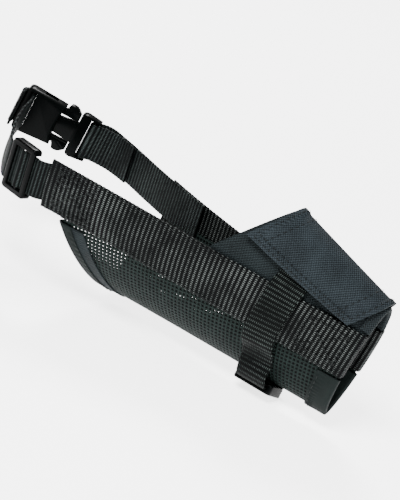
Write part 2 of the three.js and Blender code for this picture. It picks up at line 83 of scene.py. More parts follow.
def camera_matrix(position, right, up, back):
    """The columns of a camera's matrix are its right, up and back directions and its place."""
    matrix = np.eye(4)
    matrix[:3, 0], matrix[:3, 1], matrix[:3, 2], matrix[:3, 3] = right, up, back, position
    return matrix


def placed(name, data):
    """A new object, linked into the scene."""
    thing = bpy.data.objects.new(name, data)
    bpy.context.scene.collection.objects.link(thing)
    return thing


camera_back = unit([0.45515, -0.82007, 0.34688])
camera_right = unit([0.77549, 0.55652, 0.29816])
camera_up = np.cross(camera_back, camera_right)
camera_data = bpy.data.cameras.new("studio_camera")
camera_data.sensor_fit = "AUTO"
camera_data.sensor_width = 36.0
camera_data.lens = 167.3
camera_data.clip_end = 20.0
camera = placed("studio_camera", camera_data)
camera_place = in_row([423.27, -934.70, 436.32])
camera.matrix_world = camera_matrix(camera_place, camera_right, camera_up, camera_back).T
bpy.context.scene.camera = camera
print("camera at", np.round(camera_place, 3))

# %% [markdown]
# ## The sleeve as a formula
# Every sheet of this muzzle lies on one tapered tube with a round chin and a folded ridge.
# It could be modelled by hand, but a formula keeps the webbing, tape and stitching on the
# same surface. A place on it is x, the distance along, and turn, the angle from the chin.

# %% Sizes of the sleeve, in millimetres
NOSE_HALF_WIDTH, FLARE = 8.9, 0.172
LEFT_GAIN, LEFT_REACH, LEFT_CURVE = 26.0, 165.0, 1.8
WEBBING_HEIGHT, WEBBING_RISE = 35.6, 0.08
RIDGE_HEIGHT, RIDGE_RISE = 64.8, 0.334
CHIN_HEIGHT, CHIN_ROUND, RIDGE_ROUND = -0.5, 1.4, 1.15
QUARTER = math.pi / 2


def smooth(value, low, high):
    """The smooth step: 3t^2 - 2t^3, where t is the share of the way from low to high."""
    t = np.clip((np.asarray(value, float) - low) / (high - low), 0, 1)
    return t * t * (3 - 2 * t)


def blend_of(a, b, share):
    """A straight mix: a at share 0, b at share 1."""
    return a + (b - a) * share


def half_width(x, side):
    """The right wall widens evenly from the nose; the left one by a power of the distance."""
    x = np.asarray(x, float)
    left = NOSE_HALF_WIDTH + LEFT_GAIN * (np.maximum(0, -x) / LEFT_REACH) ** LEFT_CURVE
    return np.where(side < 0, NOSE_HALF_WIDTH - FLARE * x, left)


def middle(x):
    """Height of the side webbing's middle line."""
    return WEBBING_HEIGHT - WEBBING_RISE * x


def ridge(x):
    """Height of the folded ridge."""
    return RIDGE_HEIGHT - RIDGE_RISE * x


def nose_rim(z, turn=None):
    """x of the nose rim: it leans forward as it rises."""
    return -2.5 + 0.2 * z


def back_rim(z, turn):
    """x of the back rim: it leans back as it rises, and hardly at all on the left."""
    return -141.0 - np.where(turn < 0, 0.08, 0.47) * z


def top_rim(z, turn=None):
    """x of the top panel's back edge: it leans forward as it rises."""
    return -79.4 + 0.94 * (z - 54.3)


def on_sleeve(x, turn):
    """Height follows minus the cosine of turn; width follows a power of its sine."""
    x, turn = np.broadcast_arrays(np.asarray(x, float), np.asarray(turn, float))
    rise, across = -np.cos(turn), np.sin(turn)
    reach = np.where(rise < 0, middle(x) - CHIN_HEIGHT, ridge(x) - middle(x))
    power = np.where(rise < 0, CHIN_ROUND, RIDGE_ROUND)
    side = -np.sign(across)
    y = side * half_width(x, side) * np.abs(across) ** power
    return np.stack([x, y, middle(x) + rise * reach], axis=-1)


def outward_of(x, turn):
    """The outward direction: the cross product of the steps along and round the sleeve."""
    along = on_sleeve(x + 1, turn) - on_sleeve(x - 1, turn)
    round_it = on_sleeve(x, turn + 0.02) - on_sleeve(x, turn - 0.02)
    return unit(np.cross(along, round_it))


def over_sleeve(x, turn, lift):
    """A point of the sleeve moved outwards by lift."""
    x, turn, lift = np.broadcast_arrays(x, turn, lift)
    return on_sleeve(x, turn) + outward_of(x, turn) * lift[..., None]


def rim_x(rim, turn):
    """x of a leaning rim at a turn, found by repeating x = rim(height at x) a few times."""
    turn = np.asarray(turn, float)
    x = rim(np.full(turn.shape, middle(0.0)), turn)
    for _ in range(12):
        x = rim(on_sleeve(x, turn)[..., 2], turn)
    return x


print("nose rim at the chin:", np.round(rim_x(nose_rim, np.array(0.0)), 2))

# %% [markdown]
# ## From arrays to pieces
# Each surface is an array of points with rows and columns. One helper turns it into a mesh
# with a UV map that counts millimetres, so that a weave keeps its scale on every piece.

# %% The mesh helper
FINISHES = {}


def piece_from(name, points, faces, uv, body, slot_name, stands_for=()):
    """Points in drawing millimetres, faces as rows of indices, one uv pair for each point."""
    used, place = np.unique(np.concatenate([np.ravel(f) for f in faces]), return_inverse=True)
    counts = [np.shape(f) for f in faces]
    mesh = bpy.data.meshes.new(name)
    cuts = np.cumsum([0] + [int(np.prod(c)) for c in counts])
    lists = [place[a:b].reshape(c).tolist() for a, b, c in zip(cuts[:-1], cuts[1:], counts)]
    mesh.from_pydata(in_row(points[used]).tolist(), [], [f for part in lists for f in part])
    corners = np.zeros(len(mesh.loops), np.int32)
    mesh.loops.foreach_get("vertex_index", corners)
    layer = mesh.uv_layers.new(name="cut")
    layer.data.foreach_set("uv", np.asarray(uv, np.float32)[used][corners].ravel())
    mesh.polygons.foreach_set("use_smooth", np.ones(len(mesh.polygons), bool))
    mesh.update()
    piece = placed(name, mesh)
    mesh.materials.append(FINISHES[slot_name])
    if body:
        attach(piece, body)
    if stands_for:
        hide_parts(*stands_for)
    return piece


def grid_faces(rows, columns, wrap=False, start=0):
    """Four corners for each cell of a grid; with wrap, the last column joins the first."""
    ids = np.arange(rows * columns).reshape(rows, columns) + start
    if wrap:
        ids = np.concatenate([ids, ids[:, :1]], axis=1)
    cells = [ids[:-1, :-1], ids[1:, :-1], ids[1:, 1:], ids[:-1, 1:]]
    return np.stack(cells, axis=-1)


def thicken(piece, thickness):
    """Solidify gives a sheet its thickness, in millimetres, about its middle."""
    shell = piece.modifiers.new("thickness", "SOLIDIFY")
    shell.thickness = thickness * MM
    shell.offset = 0.0
    shell.use_even_offset = False


# %% [markdown]
# ## Finishes
# Each finish is procedural. Weaves read the piece's UV map, which is in millimetres, so a
# thread is the same size everywhere. Bump is worked out from the same pattern as the
# colour: the crowns of threads are higher, and their paler colour is a painted highlight.


class Weave:
    """Builds a material's node tree a step at a time."""

    def __init__(self, name, roughness, specular):
        self.material = bpy.data.materials.new(name)
        self.material.use_nodes = True
        self.tree = self.material.node_tree
        self.shader = self.tree.nodes["Principled BSDF"]
        self.shader.inputs["Roughness"].default_value = roughness
        self.shader.inputs["Specular IOR Level"].default_value = specular

    def node(self, kind, **inputs):
        node = self.tree.nodes.new(kind)
        for key, value in inputs.items():
            self.put(node.inputs[key.replace("_", " ")], value)
        return node

    def put(self, socket, value):
        if isinstance(value, bpy.types.NodeSocket):
            self.tree.links.new(value, socket)
        else:
            socket.default_value = value

    def maths(self, operation, a, b=0.0):
        node = self.tree.nodes.new("ShaderNodeMath")
        node.operation = operation
        self.put(node.inputs[0], a)
        self.put(node.inputs[1], b)
        return node.outputs[0]

    def scaled(self, value, factor, plus=0.0):
        """value times factor, plus a number."""
        result = self.maths("MULTIPLY_ADD", value, factor)
        result.node.inputs[2].default_value = plus
        return result

    def flat_place(self):
        """The two UV numbers, in millimetres of the cut cloth."""
        uv = self.node("ShaderNodeUVMap")
        uv.uv_map = "cut"
        split = self.node("ShaderNodeSeparateXYZ", Vector=uv.outputs[0])
        return split.outputs[0], split.outputs[1]

    def solid_place(self):
        return self.node("ShaderNodeTexCoord").outputs["Object"]

    def wave(self, value, pitch, shift=0.0):
        """The sine of value, once for each pitch."""
        turned = self.maths("MULTIPLY", value, 2 * math.pi / pitch)
        return self.maths("SINE", self.maths("ADD", turned, shift))

    def noise(self, scale, detail=3.0):
        node = self.node("ShaderNodeTexNoise", Scale=scale, Detail=detail, Roughness=0.55)
        self.put(node.inputs["Vector"], self.solid_place())
        return node.outputs["Fac"]

    def ramp(self, value, stops):
        """A colour for each share between 0 and 1."""
        node = self.node("ShaderNodeValToRGB", Fac=value)
        band = node.color_ramp
        while len(band.elements) < len(stops):
            band.elements.new(0.5)
        for element, (share, colour) in zip(band.elements, stops):
            element.position = share
            element.color = (*colour, 1)
        return node.outputs[0]

    def finish(self, colour, height=None, depth=0.1, strength=0.8, roughness=None):
        self.put(self.shader.inputs["Base Color"], colour)
        if roughness is not None:
            self.put(self.shader.inputs["Roughness"], roughness)
        if height is not None:
            bump = self.node("ShaderNodeBump", Height=height)
            bump.inputs["Distance"].default_value = depth * MM
            bump.inputs["Strength"].default_value = strength
            self.tree.links.new(bump.outputs[0], self.shader.inputs["Normal"])
        return self.material


# %% [markdown]
# ### Woven nylon
# A plain basket weave: two sine waves, one for each direction of thread, multiplied, so
# crowns and dips alternate as on a chess board. In the colour the crowns are painted paler,
# a painted highlight, and the dips darker, painted shade.

# %% Woven nylon
NYLON_PITCH = 1.35  # millimetres


def woven_nylon(name, dark, pale):
    weave = Weave(name, 0.75, specular=0.06)
    u, v = weave.flat_place()
    crowns = weave.maths("MULTIPLY", weave.wave(u, NYLON_PITCH), weave.wave(v, NYLON_PITCH))
    patches = weave.noise(90.0)
    fibres = weave.noise(2600.0, detail=2.0)
    share = weave.maths("ADD", weave.scaled(crowns, 0.34, 0.42),
                        weave.scaled(patches, 0.5, -0.25))
    share = weave.maths("ADD", share, weave.scaled(fibres, 0.5, -0.25))
    between = blend_of(np.array(dark), np.array(pale), 0.4)
    # crowns push the colour towards pale, a painted highlight on the thread crowns; dips push it
    # towards dark, painted shade between threads
    colour = weave.ramp(share, [(0.1, dark), (0.55, between), (1.0, pale)])
    height = weave.maths("ADD", crowns, weave.maths("MULTIPLY", fibres, 0.8))
    rough = weave.scaled(patches, 0.25, 0.6)
    return weave.finish(colour, height, depth=0.12, strength=0.9, roughness=rough)


FINISHES["woven_nylon"] = woven_nylon("woven_nylon", (0.0012, 0.0019, 0.0024),
                                      (0.028, 0.037, 0.043))
FINISHES["top_nylon"] = woven_nylon("top_nylon", (0.0010, 0.0016, 0.0019),
                                    (0.019, 0.026, 0.028))
FINISHES["rim_nylon"] = FINISHES["top_nylon"]
print("woven nylon: a wave of threads every", NYLON_PITCH, "mm")

# %% [markdown]
# ### Ribbed webbing
# The ribs are real geometry. The finish adds the yarns that cross each rib: a row of small
# crowns, shifted by half a yarn from one rib to the next. The crowns are painted paler,
# rising to a painted glint, a highlight on their tops.

# %% Webbing finish
BAND_RIB, STRAP_RIB = 2.4, 2.0  # the pitch of the ribs, in millimetres


def ribbed_nylon(name, rib, yarn, dark, pale, painted_glint):
    weave = Weave(name, 0.6, specular=0.035)
    u, v = weave.flat_place()
    number = weave.maths("FLOOR", weave.maths("DIVIDE", u, rib))
    shifted = weave.maths("ADD", v, weave.maths("MULTIPLY", number, yarn * 0.5))
    yarns = weave.maths("ABSOLUTE", weave.wave(shifted, 2 * yarn))
    rib_turn = weave.maths("MULTIPLY", u, math.pi / rib)
    across = weave.maths("ABSOLUTE", weave.maths("SINE", rib_turn))
    crown = weave.maths("MULTIPLY", yarns, across)
    fibres = weave.noise(2400.0, detail=2.0)
    glint_patches = weave.noise(60.0)
    # noise that makes the painted highlight on the crowns stronger in some patches than in others
    share = weave.maths("MULTIPLY", crown, weave.maths("ADD", glint_patches, 0.45))
    share = weave.maths("ADD", share, weave.scaled(fibres, 0.6, -0.3))
    # the last stop is a painted glint, a highlight on the yarn crowns
    colour = weave.ramp(share, [(0.12, dark), (0.62, pale), (0.98, painted_glint)])
    height = weave.maths("ADD", crown, weave.maths("MULTIPLY", fibres, 0.4))
    return weave.finish(colour, height, depth=0.28, strength=0.85)


# the third colour of each finish is its painted glint
FINISHES["webbing"] = ribbed_nylon("ribbed_webbing", BAND_RIB, 0.95, (0.0004, 0.0005, 0.0006),
                                   (0.0016, 0.0021, 0.0022), (0.070, 0.078, 0.075))
FINISHES["strap"] = ribbed_nylon("ribbed_strap", STRAP_RIB, 0.8, (0.0004, 0.0006, 0.0007),
                                 (0.0014, 0.0022, 0.0022), (0.036, 0.046, 0.044))
FINISHES["loop"] = ribbed_nylon("ribbed_loop", BAND_RIB, 0.95, (0.0002, 0.0004, 0.0004),
                                (0.0012, 0.0018, 0.0017), (0.034, 0.042, 0.039))
print("webbing: a rib every", BAND_RIB, "mm; straps: every", STRAP_RIB, "mm")

# %% [markdown]
# ### Net, tape, thread and plastic
# The net's holes are real. Its finish is the shine of coated yarn, with painted shade where
# a hole would be, so holes drawn into slits still show. Tape is smooth with a fine cross
# rib. Thread is a little paler than the cloth. The plastic is moulded acetal: black, half
# gloss, faintly uneven.

# %% The other finishes
NET_PITCH = 2.15  # a hole and a yarn
YARN_SHARE = 0.66  # the rest of the pitch is the hole
FRONT_SHARE = 0.88  # towards the nose the net is drawn together, and its holes are slits
NET_HALF_GIRTH = 66.0
NET_START_X = -170.0


def net_yarn():
    """Pale on the yarns, with painted shade where a hole would be, so drawn-in holes still read."""
    weave = Weave("net_yarn", 0.65, specular=0.04)
    u, v = weave.flat_place()
    cells = []
    for place, start in ((u, NET_START_X), (v, -NET_HALF_GIRTH)):
        shift = QUARTER - 2 * math.pi * (start / NET_PITCH + YARN_SHARE / 2)
        cells.append(weave.wave(place, NET_PITCH, shift))
    yarns_and_hole_shade = weave.maths("MAXIMUM", *cells)
    strands = weave.maths("MULTIPLY", weave.wave(u, 0.55), weave.wave(v, 0.55))
    tone = weave.maths("ADD", weave.scaled(weave.noise(150.0), 0.5, -0.25),
                       weave.scaled(yarns_and_hole_shade, 0.5, 0.4))
    tone = weave.maths("ADD", tone, weave.maths("MULTIPLY", strands, 0.1))
    # the dark stop falls where holes would be: painted shade, as seen through a hole
    colour = weave.ramp(tone, [(0.3, (0.0002, 0.0004, 0.0004)), (0.95, (0.0075, 0.0125, 0.0112))])
    height = weave.maths("ADD", yarns_and_hole_shade, weave.maths("MULTIPLY", strands, 0.3))
    return weave.finish(colour, height, depth=0.2, strength=0.7)


def edge_tape():
    weave = Weave("edge_tape", 0.65, specular=0.05)
    u, v = weave.flat_place()
    ribs = weave.wave(u, 0.7)
    tone = weave.maths("ADD", weave.noise(70.0), weave.maths("MULTIPLY", ribs, 0.05))
    colour = weave.ramp(tone, [(0.2, (0.0015, 0.0028, 0.0026)), (0.8, (0.0055, 0.0085, 0.0080))])
    return weave.finish(colour, ribs, depth=0.05, strength=0.5)


def sewing_thread():
    weave = Weave("sewing_thread", 0.5, specular=0.08)
    tone = weave.noise(900.0)
    colour = weave.ramp(tone, [(0.3, (0.001, 0.0014, 0.0015)), (0.8, (0.012, 0.014, 0.014))])
    return weave.finish(colour, tone, depth=0.05, strength=0.4)


def acetal():
    weave = Weave("moulded_acetal", 0.3, specular=0.03)
    cloudy = weave.noise(45.0)
    grain = weave.noise(1500.0, detail=2.0)
    colour = weave.ramp(cloudy, [(0.3, (0.0003, 0.0005, 0.0005)), (0.75, (0.0008, 0.0012, 0.0012))])
    rough = weave.scaled(cloudy, 0.2, 0.18)
    return weave.finish(colour, grain, depth=0.03, strength=0.25, roughness=rough)


FINISHES.update(mesh=net_yarn(), binding_tape=edge_tape(), thread=sewing_thread(), acetal=acetal())
print("finishes:", ", ".join(sorted(FINISHES)))

# %% [markdown]
# ## The net
# One piece of net goes from side to side under the chin. It could be a plain sheet with a
# see-through finish, but real holes let the light and the far side show through. The cloth
# is laid out by distances, x along and s round from the chin line, as flat net would be, so
# the holes stay the same size while the sleeve tapers. Every second cell of the grid, in
# both directions, is left out.

# %% Lay out the net
EDGE_TURN = 0.1  # the panels stop this far short of the middle of the side bands
NET_TRIM = 0.6  # the net stops this far short of the rims, in millimetres


def turn_at_distance(x, distance):
    """The turn at which the way round from the chin, at each x, has the given length."""
    turns = np.linspace(0, QUARTER, 160)
    found = np.zeros(np.broadcast_shapes(x.shape, distance.shape))
    for sign in (-1.0, 1.0):
        ring = on_sleeve(x[:, :1], sign * turns[None, :])
        steps = np.linalg.norm(np.diff(ring, axis=1), axis=-1)
        lengths = np.concatenate([np.zeros((len(x), 1)), np.cumsum(steps, axis=1)], axis=1)
        here = np.array([np.interp(np.abs(d), row, turns) for d, row in zip(distance, lengths)])
        found = np.where(np.sign(distance) == sign, sign * here, found)
    return found


def net_lines(low, high, share):
    """Both sides of every yarn: multiples of the pitch, and the same plus a yarn's width."""
    starts = np.arange(low, high, NET_PITCH)
    return np.stack([starts, starts + share(starts) * NET_PITCH], axis=1).ravel()


def share_along(x):
    return blend_of(YARN_SHARE, FRONT_SHARE, smooth(x, -85, -45))


net_x = net_lines(NET_START_X, 8.0, share_along)
net_s = net_lines(-NET_HALF_GIRTH, NET_HALF_GIRTH, lambda s: YARN_SHARE)
grid_x, grid_s = np.meshgrid(net_x, net_s, indexing="ij")
net_turn = turn_at_distance(grid_x, grid_s)
ripple = 0.35 * np.sin(grid_x / 11 + grid_s / 17) * np.sin(grid_s / 13)
net_points = over_sleeve(grid_x, net_turn, ripple * 0.6)


def cell_means(values):
    """The mean of the four corners of each cell."""
    return 0.25 * (values[1:, 1:] + values[:-1, 1:] + values[1:, :-1] + values[:-1, :-1])


cell_x, cell_turn = cell_means(grid_x), cell_means(net_turn)
inside = cell_x < rim_x(nose_rim, cell_turn) - NET_TRIM
inside &= cell_x > rim_x(back_rim, cell_turn) + NET_TRIM
inside &= np.abs(cell_turn) < QUARTER - EDGE_TURN
inside &= (cell_turn > -1.15) | (cell_x > -132)  # trimmed short of the left band's rear end
odd_x, odd_s = (np.arange(count) % 2 == 1 for count in cell_x.shape)
holes = odd_x[:, None] & odd_s[None, :]
net_cells = grid_faces(*grid_x.shape)[inside & ~holes]
net_uv = np.stack([grid_x, grid_s], axis=-1).reshape(-1, 2)
net = piece_from("chin_net", net_points.reshape(-1, 3), [net_cells], net_uv, "muzzle", "mesh",
                 ["mesh_panel"])
thicken(net, 0.55)

# %% [markdown]
# ## The panels over the nose
# Two layers of woven nylon: a panel sewn to the webbing and, standing off it, a larger
# folded pad. Each is a grid in turn and in its share of the way from back rim to front.

# %% Panels
def rim_sheet(name, rims, turn_at, lift_at, steps, slot_name, body, stands_for, thickness):
    """A grid of turn and share along; its x runs straight from one rim to the other."""
    along, round_it = np.meshgrid(np.linspace(0, 1, steps[0]), np.linspace(0, 1, steps[1]),
                                  indexing="ij")
    turn = turn_at(round_it, along)
    x = blend_of(rim_x(rims[0], turn), rim_x(rims[1], turn), along)
    points = over_sleeve(x, turn, lift_at(x, turn, along, round_it))
    reach = np.linalg.norm(np.diff(points, axis=1), axis=-1)
    across = np.concatenate([np.zeros((steps[0], 1)), np.cumsum(reach, axis=1)], axis=1)
    across -= across[:, steps[1] // 2][:, None]
    uv = np.stack([x, across], axis=-1)
    sheet = piece_from(name, points.reshape(-1, 3), [grid_faces(*steps).reshape(-1, 4)],
                       uv.reshape(-1, 2), body, slot_name, stands_for)
    thicken(sheet, thickness)
    return sheet, points


def area_of(points):
    """The area of a grid of points, each cell as the cross product of its diagonals."""
    first, second = points[1:, 1:] - points[:-1, :-1], points[1:, :-1] - points[:-1, 1:]
    return float(np.linalg.norm(np.cross(first, second), axis=-1).sum()) / 2 * 1e-6


def top_turn(round_it, along):
    return blend_of(QUARTER + EDGE_TURN, 3 * QUARTER - EDGE_TURN, round_it)


def top_lift(x, turn, along, round_it):
    return 0.25 * np.sin(x / 9 + 3 * turn) * np.sin(math.pi * along)


top_sheet, top_points = rim_sheet("top_panel_cloth", [top_rim, nose_rim], top_turn, top_lift,
                                  (70, 80), "top_nylon", "muzzle", ["top_panel"], 0.8)
area_of(top_points)

PAD_RISE, PAD_RISE_FRONT, PAD_LIFT = 0.574, 0.437, 3.5
PAD_BACK_INSET, PAD_INSET, PAD_CORNER_INSET = 3.0, -0.5, 10.0


def pad_edge(share):
    """The turn of the pad's side edge: its height as a share of the upper height."""
    return math.pi - np.arccos(blend_of(PAD_RISE, PAD_RISE_FRONT, share))


def pad_turn(round_it, along):
    return blend_of(pad_edge(along), 2 * math.pi - pad_edge(along), round_it)


def pad_rim(z, turn):
    """The nose rim less an inset, which grows with the square of the way from the ridge."""
    from_ridge = np.abs(turn - math.pi) / (math.pi - pad_edge(1.0))
    return nose_rim(z) - PAD_INSET - PAD_CORNER_INSET * np.minimum(1, from_ridge) ** 2


def pad_back_rim(z, turn):
    """The pad starts a little in front of the panel's back edge."""
    return top_rim(z) + PAD_BACK_INSET


def pad_lift(x, turn, along, round_it):
    """Off the panel everywhere, a little higher along the hems, with a faint sag between."""
    edge = np.minimum(np.minimum(round_it, 1 - round_it) * 90, np.minimum(along, 1 - along) * 75)
    hem = 0.6 * (1 - smooth(edge, 3.2, 4.4))
    sag = -0.45 * np.sin(math.pi * along) * np.sin(2 * math.pi * round_it) ** 2
    pucker = 0.12 * np.sin(x / 2.1) * (1 - smooth(edge, 0, 6))
    return PAD_LIFT + hem + sag + pucker


pad_sheet, pad_points = rim_sheet("bridge_pad_cloth", [pad_back_rim, pad_rim], pad_turn, pad_lift,
                                  (120, 140), "woven_nylon", "muzzle", ["bridge_pad"], 1.3)
area_of(pad_points)
print("pad:", round(area_of(pad_points) * 1e4, 1), "square cm")

# %% [markdown]
# ## Webbing as a bent bar
# Webbing is a flat woven bar with ribs across it. Each band is made flat, as rings of
# points round its section, and then bent into place, so one helper makes them all. A rib
# raises both faces and pushes the edges out, which gives the edge its scallops.

# %% The band helper
def band(name, place, length, width, thickness, rib, body, slot_name, stands_for=(),
         rib_height=0.28, scallop=0.3, swell=None, rings_per_rib=7):
    """place(s, w, h) bends points given by distance along, across and above the middle.

    The section is a flat bar with round edges. A rib's height follows the square root of
    the sine of its share of the pitch, so ribs are round and the dips between are sharp."""
    rings = int(length / rib * rings_per_rib)
    s = np.linspace(0, length, rings)
    rise = np.sqrt(np.abs(np.sin(math.pi * s / rib)))
    edge = np.linspace(-QUARTER, QUARTER, 5)
    flat = np.linspace(-1, 1, 15)[1:-1]
    across = np.concatenate([np.full(5, 1.0), -flat, np.full(5, -1.0), flat])
    bulge = np.concatenate([np.cos(edge), np.zeros(13), -np.cos(edge), np.zeros(13)])
    above = np.concatenate([np.sin(edge), np.ones(13), np.sin(edge)[::-1], -np.ones(13)])
    core = width / 2 - thickness / 2
    grown = (np.zeros(rings) if swell is None else swell(s))[:, None]
    half_thick = thickness / 2 - rib_height * (1 - rise[:, None]) + grown
    w = across * core + bulge * (thickness / 2 - scallop * (1 - rise[:, None]))
    h = above * half_thick
    points = place(s[:, None] + 0 * w, w, h)
    columns = w.shape[1]
    faces = [grid_faces(rings, columns, wrap=True).reshape(-1, 4)[:, ::-1],
             np.arange(columns)[None, :], (rings - 1) * columns + np.arange(columns)[None, ::-1]]
    uv = np.stack([s[:, None] + 0 * w, w + width], axis=-1).reshape(-1, 2)
    return piece_from(name, points.reshape(-1, 3), faces, uv, body, slot_name, stands_for)


# %% [markdown]
# ## Side bands
# The bands run along the sides over the seam of the two panels, and are folded in over the
# nose rim. Round the fold the bar follows a half circle in the plane of its own thickness.

# %% Make the side bands
SIDE_WIDTH, SIDE_THICK, FOLD = 25.0, 1.6, 14.0
PANEL_HALF, SEWN_GAP = 0.5, 0.3  # half a panel's thickness; the gap between sewn layers
FACE_LIFT = PANEL_HALF + SEWN_GAP + SIDE_THICK / 2  # middle of the outer layer above the sleeve


def side_place(side, length):
    """s runs from the folded-in end, round the nose rim and back along the outside."""
    turn_radius = FACE_LIFT
    arc = math.pi * turn_radius

    def place(s, w, h):
        bent = np.clip((s - FOLD) / arc, 0, 1) * math.pi
        inner = np.minimum(s, FOLD) - FOLD
        outer = np.maximum(s - FOLD - arc, 0)
        offset = -np.cos(bent) * (turn_radius + h)
        x = inner * (bent <= 0) - outer * (bent >= math.pi)
        x = x + np.sin(bent) * (turn_radius + h) * 0.55
        drop = (3.5 * smooth(-x, 20, 90)) if side > 0 else 0.0
        up = w - drop
        lean = smooth(x, -100, -10)
        at = x + nose_rim(WEBBING_HEIGHT) + lean * (nose_rim(up) - nose_rim(0.0))
        reach = np.where(up < 0, middle(at) - CHIN_HEIGHT, ridge(at) - middle(at))
        turn = np.arccos(-up / reach)
        wave = 0.35 * np.sin(at / 16.0) * (w / 12.5) ** 2
        return over_sleeve(at, 2 * math.pi - turn if side > 0 else turn,
                           offset + wave * (outer > 20))

    return place, FOLD + arc + length


def end_swell(total, amount=0.35, reach=5.0):
    """The last few millimetres are folded and pressed, so they are a little thicker."""
    return lambda s: amount * smooth(s, total - reach, total - reach + 1.2)


right_place, right_total = side_place(-1, 172.0)
side_right = band("side_band_right", right_place, right_total, SIDE_WIDTH, SIDE_THICK,
                  BAND_RIB, "muzzle", "webbing", ["side_webbing_right"],
                  swell=end_swell(right_total))
left_place, left_total = side_place(1, 143.0)
side_left = band("side_band_left", left_place, left_total, SIDE_WIDTH, SIDE_THICK,
                 BAND_RIB, "muzzle", "webbing", ["side_webbing_left"])
print("side bands:", round(right_total), "and", round(left_total), "mm of webbing")

# %% [markdown]
# ## Neck straps
# A strap's middle line is a smooth curve through chosen points in plan. It is resampled at
# even distances; the width direction turns from upright to the tilt of the buckle.

# %% Curves through points
def curve_through(points, count):
    """A centripetal Catmull-Rom curve, resampled at even distances.

    Between two points it is the cubic whose end slopes come from the neighbours, each
    weighed by the square root of the distance between them."""
    p = np.asarray(points, float)
    p = np.vstack([2 * p[0] - p[1], p, 2 * p[-1] - p[-2]])
    a, b, c, d = p[:-3], p[1:-2], p[2:-1], p[3:]
    gap = [np.maximum(np.linalg.norm(y - x, axis=1) ** 0.5, 1e-6)[:, None]
           for x, y in ((a, b), (b, c), (c, d))]
    slope_b = ((b - a) / gap[0] - (c - a) / (gap[0] + gap[1]) + (c - b) / gap[1]) * gap[1]
    slope_c = ((c - b) / gap[1] - (d - b) / (gap[1] + gap[2]) + (d - c) / gap[2]) * gap[1]
    t = np.linspace(0, 1, 60, endpoint=False)[None, :, None]
    b, c, m, n = (v[:, None, :] for v in (b, c, slope_b, slope_c))
    curve = (2 * t**3 - 3 * t**2 + 1) * b + (t**3 - 2 * t**2 + t) * m
    curve = curve + (3 * t**2 - 2 * t**3) * c + (t**3 - t**2) * n
    return even_steps(np.vstack([curve.reshape(-1, p.shape[1]), p[-2]]), count)


def distances_along(line):
    """How far along a line each of its points is."""
    return np.concatenate([[0], np.cumsum(np.linalg.norm(np.diff(line, axis=0), axis=1))])


def values_at(spots, steps, values):
    """Values known at each step, read off at chosen spots between them."""
    return np.stack([np.interp(spots, steps, column) for column in values.T], axis=1)


def even_steps(points, count):
    """The same line with its points at even distances."""
    steps = distances_along(points)
    return values_at(np.linspace(0, steps[-1], count), steps, points)


def left_of(line):
    """The direction a quarter turn to the left of a line's own direction, in its plane."""
    ahead = unit(np.gradient(line, axis=0))
    return np.stack([-ahead[:, 1], ahead[:, 0]], axis=1)


def length_of(line):
    return float(np.linalg.norm(np.diff(line, axis=0), axis=1).sum())


# %% Places shared with the buckle
STRAP_WIDTH, STRAP_THICK = 20.0, 1.5
LAYER = (SIDE_THICK + SEWN_GAP) / 2  # from the middle of two layers to the middle of one
BUCKLE_CENTRE = np.array([-212.0, 21.6, 54.4])
BUCKLE_AXIS = unit([-0.85, -0.5, 0.17])
BUCKLE_THROUGH = unit(np.cross(BUCKLE_AXIS, [0, 0, 1]))
BUCKLE_ACROSS = np.cross(BUCKLE_THROUGH, BUCKLE_AXIS)
BUCKLE_LENGTH, BAR = 42.0, 2.6
BAR_OFFSET = (BUCKLE_LENGTH - BAR) / 2
FEMALE_BAR = BUCKLE_CENTRE + BUCKLE_AXIS * BAR_OFFSET
MALE_BAR = BUCKLE_CENTRE - BUCKLE_AXIS * BAR_OFFSET
WRAP_RADIUS = BAR / 2 + 0.65 + 0.8  # half the bar, the room round it, half the webbing
BAR_RISE = 1.9  # how far the slider's middle bar lifts the strap
WRAP_STEPS = 25  # steps of the half circle round a bar
AXIS_PLAN, THROUGH_PLAN = unit(BUCKLE_AXIS[:2]), unit(BUCKLE_THROUGH[:2])
SLIDER_CENTRE = np.array([-187.5, -34.8, 46.5])
SLIDER_ALONG = unit([-0.975, 0.22])


def sewn_point(x, side):
    """Flat against the inside of the panel, at the strap's lower edge."""
    lower = np.arccos(STRAP_WIDTH / 2 / (middle(x) - CHIN_HEIGHT))
    y = float(on_sleeve(x, lower if side < 0 else -lower)[1])
    return np.array([x, y - side * SIDE_THICK - LAYER])


def round_bar(route, back_share, lift=None):
    """The main layer to the bar, half a circle round it, and a return layer over itself."""
    count = len(route)
    share = np.linspace(0, 1, count)
    offset = blend_of(LAYER, WRAP_RADIUS, smooth(share, 0.78, 0.95))[:, None]
    across = left_of(route)
    out = route - across * (offset - (0 if lift is None else lift(route)[:, None]))
    centre = route[-1]
    angles = np.linspace(0, math.pi, WRAP_STEPS + 1)[1:-1]
    start = out[-1] - centre
    loop = centre + np.stack([start[0] * np.cos(angles) - start[1] * np.sin(angles),
                              start[0] * np.sin(angles) + start[1] * np.cos(angles)], axis=1)
    back = (route + across * offset)[int(count * (1 - back_share)):][::-1]
    return np.vstack([out, loop, back])


def strap_place(plan, height, turn_from, turn_to):
    """Bends a bar along a plan line; its width turns from upright to the buckle's tilt."""
    line = even_steps(plan, 900)
    total = length_of(line)
    at = np.linspace(0, total, len(line))
    across = left_of(line)

    def place(s, w, h):
        x, y = np.interp(s, at, line[:, 0]), np.interp(s, at, line[:, 1])
        nx, ny = np.interp(s, at, across[:, 0]), np.interp(s, at, across[:, 1])
        share = smooth(-x, turn_from, turn_to)[..., None]
        up = unit(blend_of(np.array([0, 0, 1.0]), BUCKLE_ACROSS, share))
        base = np.stack([x, y, height(x)], axis=-1)
        return base + up * w[..., None] + np.stack([nx, ny, 0 * nx], axis=-1) * h[..., None]

    return place, total


